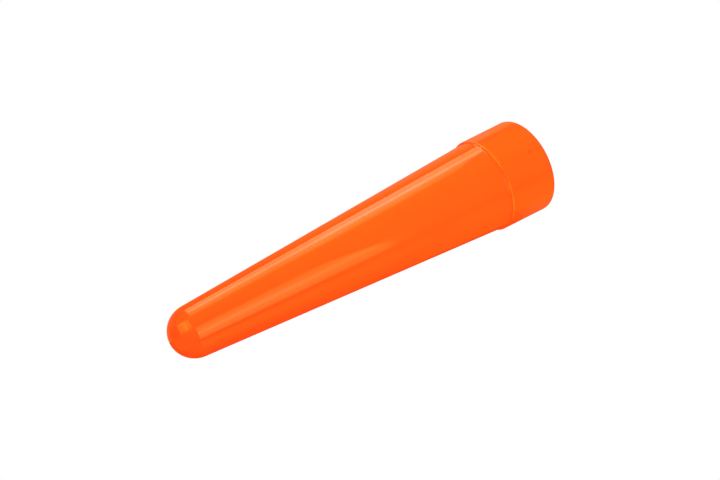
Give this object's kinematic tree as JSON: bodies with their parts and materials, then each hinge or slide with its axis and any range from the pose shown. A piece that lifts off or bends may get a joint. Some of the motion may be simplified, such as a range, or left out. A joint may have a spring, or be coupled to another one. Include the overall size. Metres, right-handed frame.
{
  "type": "slip-on torch signal cone",
  "caption": "Hollow tapered signal cone with a domed tip and a plain collar that slips over the head of a hand torch and spreads its light.",
  "frame": {"origin": "centre of the collar's open rim, in the plane that it stands on", "axes": "+Z along the cone's axis from the open rim to the domed tip; the collar's gate mark is 10 degrees round from -Y towards +X"},
  "size_m": [0.042, 0.042, 0.168],
  "materials": {
    "diffuser_orange": "glossy moulded, light-diffusing",
    "collar_orange": "satin-gloss moulded",
    "grip_elastomer": "matt elastomer"
  },
  "bodies": {
    "root": {"diffuser_cone": "diffuser_orange", "collar": "collar_orange", "grip_ring": "grip_elastomer"}
  },
  "joints": []
}
